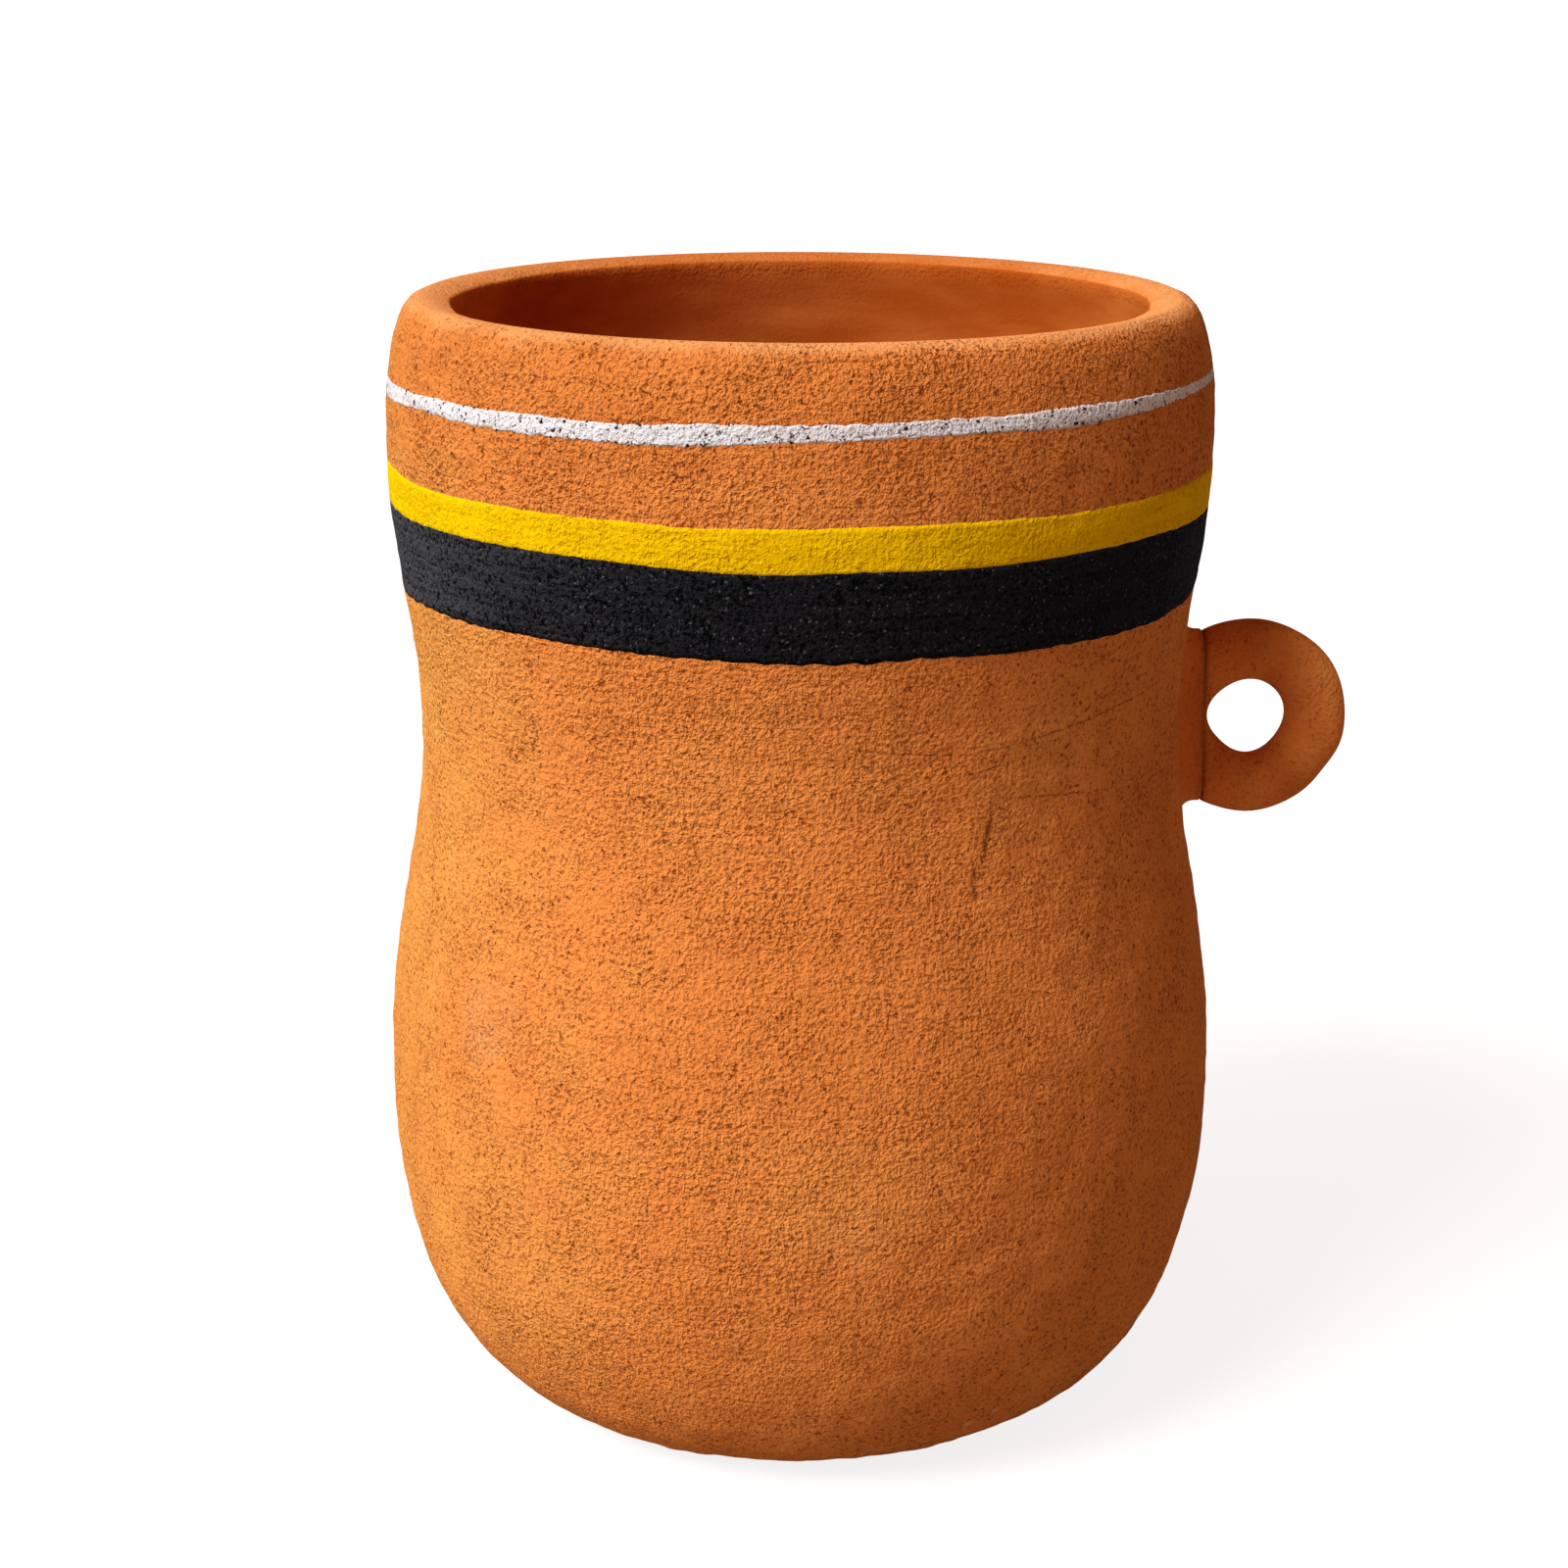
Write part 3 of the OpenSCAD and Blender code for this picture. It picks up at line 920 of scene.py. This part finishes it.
# %% Pale bloom on the wall
def add_bloom(tree, blooms):
    """Adds up blooms, 0 to 1. Each is (angle in degrees, height in mm, radius in mm, strength)."""
    place = add_node(tree, "ShaderNodeTexCoord").outputs["Object"]
    cloudy = add_node(tree, "ShaderNodeTexNoise", {
        "Vector": place, "Scale": per(5), "Detail": 4.0,
    }).outputs[0]
    cloudy = add_node(tree, "ShaderNodeMapRange", {
        "Value": cloudy, "From Min": 0.35, "From Max": 0.65,
    }).outputs[0]
    total = 0.0
    for angle, level_mm, reach_mm, strength in blooms:
        wall_r = float(np.interp(level_mm * mm, outer_line[:, 1], outer_line[:, 0]))
        turned = math.radians(angle)
        spot = (wall_r * math.cos(turned), wall_r * math.sin(turned), level_mm * mm)
        away = add_node(tree, "ShaderNodeVectorMath", {
            0: place, 1: spot,
        }, operation="DISTANCE").outputs["Value"]
        bloom_r = reach_mm * mm
        share = add_node(tree, "ShaderNodeMapRange", {
            "Value": away, "From Min": bloom_r, "From Max": 0.2 * bloom_r, "To Max": strength,
        }, interpolation_type="SMOOTHSTEP").outputs[0]
        total = add_node(tree, "ShaderNodeMath", {0: share, 1: total}, operation="ADD").outputs[0]
    return add_node(tree, "ShaderNodeMath", {
        0: total, 1: cloudy,
    }, operation="MULTIPLY", use_clamp=True).outputs[0]


# %% Where the bloom lies
blooms = [
    (-136, 126, 17, 0.3),
    (-84, 84, 13, 0.2),
    (-63, 18, 2.0, 1.6),
    (-59, 21, 1.6, 1.6),
    (-79, 15, 1.4, 1.2),
]
print(f"{len(blooms)} blooms")

# %% [markdown]
# ## Terracotta
#
# Terracotta is a low-fired, unglazed earthenware. It is matte all over, warm
# orange where the iron in it was well oxidised and redder in patches, with a few
# pale grains, and it is palest where the lip was wiped. The inside, which the
# kiln's air hardly reached, is a redder brown, with level smears left by the
# wiping hand. The hollows of the sand, the pits, the scratches, the gouges and
# the crease at the ring are drawn darker as painted shade, and the grains are
# lighter partly as pale grog and partly as painted highlight.

# %% Terracotta, scraped and wiped
terracotta, tree = new_material("scraped_terracotta")
grit_mark, crease_shade_mark, lined_mark, lip_mark, tone_and_light_mark = (
    add_node(tree, "ShaderNodeAttribute", attribute_name=label).outputs["Fac"]
    for label in ("grit", "crease", "lined", "lip", "tone")
)
height, hollow_shade, pits, deep_pits, grains = grog_relief(tree, grit_mark)
place = add_node(tree, "ShaderNodeTexCoord").outputs["Object"]
firing = add_node(tree, "ShaderNodeTexNoise", {
    "Vector": place, "Scale": per(60), "Detail": 5.0, "Roughness": 0.62,
}).outputs[0]
# The tone, with its painted light and painted shade, shifts the fired colour.
fired_tone_and_light = add_node(tree, "ShaderNodeMath", {
    0: firing, 1: 0.9, 2: tone_and_light_mark,
}, operation="MULTIPLY_ADD").outputs[0]
body_colour = add_node(tree, "ShaderNodeValToRGB", {0: fired_tone_and_light}).outputs[0]
stops = body_colour.node.color_ramp.elements
for stop, (position, shade) in zip((stops[0], stops[1], stops.new(1.0)), (
    (0.0, "#DE8038"), (0.48, "#F89B4E"), (0.96, "#FFB65C"),
)):
    stop.position, stop.color = position, linear(shade)
level = add_node(tree, "ShaderNodeMapping", {"Vector": place, "Scale": (0.3, 0.3, 1.0)}).outputs[0]
smears = add_node(tree, "ShaderNodeTexNoise", {
    "Vector": level, "Scale": per(14), "Detail": 4.0,
}).outputs[0]
smeared = add_node(tree, "ShaderNodeMapRange", {
    "Value": smears, "From Min": 0.35, "From Max": 0.65, "To Min": 0.85, "To Max": 0.4,
}).outputs[0]
lined_share = add_node(tree, "ShaderNodeMath", {
    0: lined_mark, 1: smeared,
}, operation="MULTIPLY").outputs[0]
scratched = add_scratches(tree, fine_scratches, width_mm=0.4)
gouged = add_scratches(tree, gouges, width_mm=1.5)
for depth, depth_mm in ((scratched, -0.2), (gouged, -0.5)):
    height = add_node(tree, "ShaderNodeMath", {
        0: depth, 1: depth_mm, 2: height,
    }, operation="MULTIPLY_ADD").outputs[0]

# %% The marks in the colour of the clay
colour = body_colour
# Hollows, pits, deep pits, the crease, scratches and gouges darken the clay as painted shade. Grains
# lighten it, partly as pale grog and partly as painted highlight.
for share, amount, shade in (
    (lip_mark, 0.6, "#FCB878"),
    (hollow_shade, 0.45, "#BA5614"),
    (grains, 0.35, "#FFBE78"),
    (pits, 0.55, "#A43E08"),
    (deep_pits, 0.68, "#8A3208"),
    (crease_shade_mark, 0.6, "#7E2F0C"),
    (lined_share, 1.0, "#AE4A08"),
    (add_bloom(tree, blooms), 0.6, "#FFD9A8"),
    (scratched, 0.6, "#84380E"),
    (gouged, 0.75, "#7A2C0A"),
):
    colour = add_node(tree, "ShaderNodeMix", {
        0: add_node(tree, "ShaderNodeMath", {0: share, 1: amount}, operation="MULTIPLY").outputs[0],
        6: colour, 7: linear(shade),
    }, data_type="RGBA").outputs[2]
add_matte_surface(tree, colour, height, shine=0.03)
for piece in (pot, ring, luting):
    piece.data.materials.append(terracotta)
print(f"{terracotta.name}: {len(tree.nodes)} nodes")

# %% [markdown]
# ## Slips
#
# A slip is as matte as the clay itself. The thin coats of white and yellow lie
# over the grains and soften them, and skip the deep pits, so bare clay shows there
# as dark specks, drawn darker than the clay as painted shade. The thicker black
# coat covers nearly all of the clay, as rough as the wall under it. The hollows
# and pits take the darker thin colour as painted shade. The tops of the grains
# and the side of a coat opposite the ring, where the lamps are, take a colour of
# painted light: a sheen on the black and the yellow, and a slightly darker white
# where the light is brightest.


# %% A coat of slip
def brushed_slip(name, main, thin_and_shade, painted_light_colour, bare_pits, bare_deep, grit):
    """A slip in its main colour, a darker one for thin coat and painted shade, and one
    of painted light.

    It leaves the shares bare_pits and bare_deep of the two kinds of pit bare.
    """
    material, tree = new_material(name)
    height, hollow_shade, pits, deep_pits, grains = grog_relief(tree, grit)
    edge_mark = add_node(tree, "ShaderNodeAttribute", attribute_name="edge").outputs["Fac"]
    place = add_node(tree, "ShaderNodeTexCoord").outputs["Object"]
    level = add_node(tree, "ShaderNodeMapping", {
        "Vector": place, "Scale": (0.05, 0.05, 1.0),
    }).outputs[0]
    bristles = add_node(tree, "ShaderNodeTexNoise", {
        "Vector": level, "Scale": per(1.6), "Detail": 3.0, "Roughness": 0.6,
    }).outputs[0]
    # The thin colour is a real thin coat in the brush streaks, and painted shade in the hollows and pits.
    streaks_and_shade = bristles
    for part, share in ((hollow_shade, -0.55), (pits, -0.5)):
        streaks_and_shade = add_node(tree, "ShaderNodeMath", {
            0: part, 1: share, 2: streaks_and_shade,
        }, operation="MULTIPLY_ADD").outputs[0]
    streak_and_shade = add_node(tree, "ShaderNodeMapRange", {
        "Value": streaks_and_shade, "From Min": 0.05, "From Max": 0.55,
    }).outputs[0]
    lit_side_mark = add_node(tree, "ShaderNodeAttribute", attribute_name="dust").outputs["Fac"]
    # Painted highlight: the tops of the grains take the painted light colour.
    grain_highlight = add_node(tree, "ShaderNodeMath", {0: grains, 1: 0.8}, operation="MULTIPLY").outputs[0]
    missed = add_node(tree, "ShaderNodeMath", {
        0: edge_mark, 1: 0.5, 2: bare_pits,
    }, operation="MULTIPLY_ADD").outputs[0]
    skipped = add_node(tree, "ShaderNodeMath", {0: pits, 1: missed}, operation="MULTIPLY").outputs[0]
    skipped = add_node(tree, "ShaderNodeMath", {
        0: deep_pits, 1: bare_deep, 2: skipped,
    }, operation="MULTIPLY_ADD", use_clamp=True).outputs[0]
    # Painted light: on the lit side the coat takes another colour, lighter on the black and yellow and a
    # little darker on the white.
    lit_side_coat = add_node(tree, "ShaderNodeMix", {
        0: lit_side_mark, 6: linear(main), 7: linear(painted_light_colour),
    }, data_type="RGBA").outputs[2]
    # Bare clay in the skipped pits is drawn dark brown: partly the clay itself, partly painted shade in the
    # pits.
    colour, shaded_bare_clay = linear(thin_and_shade), linear("#40201A")
    for share, shade in ((streak_and_shade, lit_side_coat), (grain_highlight, linear(painted_light_colour)), (skipped, shaded_bare_clay)):
        colour = add_node(tree, "ShaderNodeMix", {
            0: share, 6: colour, 7: shade,
        }, data_type="RGBA").outputs[2]
    add_matte_surface(tree, colour, height, shine=0.02)
    return material


# %% The three slips
for piece, name, main, thin_and_shade, painted_light_colour, bare_pits, bare_deep, grit in (
    (white_band, "brushed_white_slip", "#F6F8FE", "#E4E2EA", "#F3F3F6", 0.9, 1.7, 0.8),
    (yellow_band, "brushed_yellow_slip", "#FFD408", "#F0BA04", "#FFE004", 0.1, 0.45, 0.5),
    (black_band, "brushed_black_slip", "#222329", "#0B0B0D", "#5A5C64", 0.0, 0.0, 1.2),
):
    slip = brushed_slip(name, main, thin_and_shade, painted_light_colour, bare_pits, bare_deep, grit)
    piece.data.materials.append(slip)
    print(f"{name}: {len(slip.node_tree.nodes)} nodes")

# %% [markdown]
# ## The camera
#
# The camera stands where the photograph was taken from. Its place, its pitch and
# its focal length, in pixels of the frame, were fitted to the pot's outline, its
# rim and its level bands. A shift of the frame puts the pot's axis a little to
# the right of the middle.

# %% Camera
image_px = 1600
focal_px = 2937
axis_px = 816.5
camera_at = (0, -758.1 * mm, 389.9 * mm)
camera_pitch = math.radians(16.42)
camera = bpy.data.objects.new("camera", bpy.data.cameras.new("camera"))
bpy.context.scene.collection.objects.link(camera)
camera.location = camera_at
camera.rotation_euler = (math.pi / 2 - camera_pitch, 0, 0)
camera.data.sensor_width = 36
camera.data.lens = focal_px / image_px * camera.data.sensor_width
camera.data.shift_x = (image_px / 2 - axis_px) / image_px
bpy.context.scene.camera = camera
print(f"lens {camera.data.lens:.2f} mm, shift {camera.data.shift_x:.4f}")

# %% [markdown]
# ## The studio
#
# A wide lamp high on the left models the wall, a weaker one low on the left
# brightens its edge, and a dim warm room lights the rest. Lamps at infinity with
# a wide disc give soft light that doesn't fall off. What looks straight at the
# room sees it white. The floor is a warm mid grey for the light that bounces off
# it, and near white for what looks at it, with the pot's shadow kept.


# %% Lamps
def add_sun(name, azimuth, elevation, width, power, colour):
    """A lamp at infinity, power 1 lighting a white surface that faces it to white.

    Azimuth is in degrees from the camera's side, positive to its right, and the
    colour is the shares of red, green and blue in the light.
    """
    data = bpy.data.lights.new(name, "SUN")
    data.energy, data.color = math.pi * power, colour
    data.angle = math.radians(width)
    lamp = bpy.data.objects.new(name, data)
    bpy.context.scene.collection.objects.link(lamp)
    lamp.rotation_euler = (math.radians(90 - elevation), 0, math.radians(azimuth))


add_sun("key_lamp", -48, 46, 25, 0.94, (1.0, 0.97, 0.94))
add_sun("side_lamp", -78, 26, 40, 0.3, (0.88, 1.0, 1.0))

# %% The room
world =bpy.data.worlds.new("pale_room")
bpy.context.scene.world = world
world.use_nodes = True
tree = world.node_tree
tree.nodes.clear()
white, warm_fill, fill_power = linear("#FFFFFF"), linear("#FFB590"), 0.2
fill = add_node(tree, "ShaderNodeBackground", {
    "Color": warm_fill, "Strength": fill_power,
}).outputs[0]
pale = add_node(tree, "ShaderNodeBackground", {"Color": white, "Strength": 1.0}).outputs[0]
shown = add_node(tree, "ShaderNodeMixShader", {
    0: add_seen_directly(tree), 1: fill, 2: pale,
}).outputs[0]
add_node(tree, "ShaderNodeOutputWorld", {"Surface": shown})
print(f"the room lights with {fill_power} of the light of a white one")

# %% Floor
floor_half = 40.0
corners = [(floor_half * x, floor_half * y, 0) for x, y in ((-1, -1), (1, -1), (1, 1), (-1, 1))]
floor_mesh = bpy.data.meshes.new("studio_floor")
floor_mesh.from_pydata(corners, [], [(0, 1, 2, 3)])
studio_floor = bpy.data.objects.new("studio_floor", floor_mesh)
bpy.context.scene.collection.objects.link(studio_floor)
studio_floor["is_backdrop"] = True
floor_paint, tree = new_material("pale_floor_paint")
warm_grey, mid_grey, glow_power = linear("#9E8E81"), linear("#959595"), 0.85
bounce = add_node(tree, "ShaderNodeBsdfDiffuse", {"Color": warm_grey}).outputs[0]
shaded = add_node(tree, "ShaderNodeBsdfDiffuse", {"Color": mid_grey}).outputs[0]
glow = add_node(tree, "ShaderNodeEmission", {"Color": white, "Strength": glow_power}).outputs[0]
lit = add_node(tree, "ShaderNodeAddShader", {0: shaded, 1: glow}).outputs[0]
shown = add_node(tree, "ShaderNodeMixShader", {
    0: add_seen_directly(tree), 1: bounce, 2: lit,
}).outputs[0]
add_node(tree, "ShaderNodeOutputMaterial", {"Surface": shown})
studio_floor.data.materials.append(floor_paint)
bpy.context.scene.view_settings.view_transform = "Standard"
print(f"floor {2 * floor_half:.0f} m wide")

# %% Finish
size = {"cad": [list(corner) for corner in cad_box], "visual": [list(corner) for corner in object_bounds()]}
spans = [high - low for low, high in zip(*size["visual"])]
print("the dressed pot measures", " x ".join(f"{1000 * span:.1f}" for span in spans), "mm")
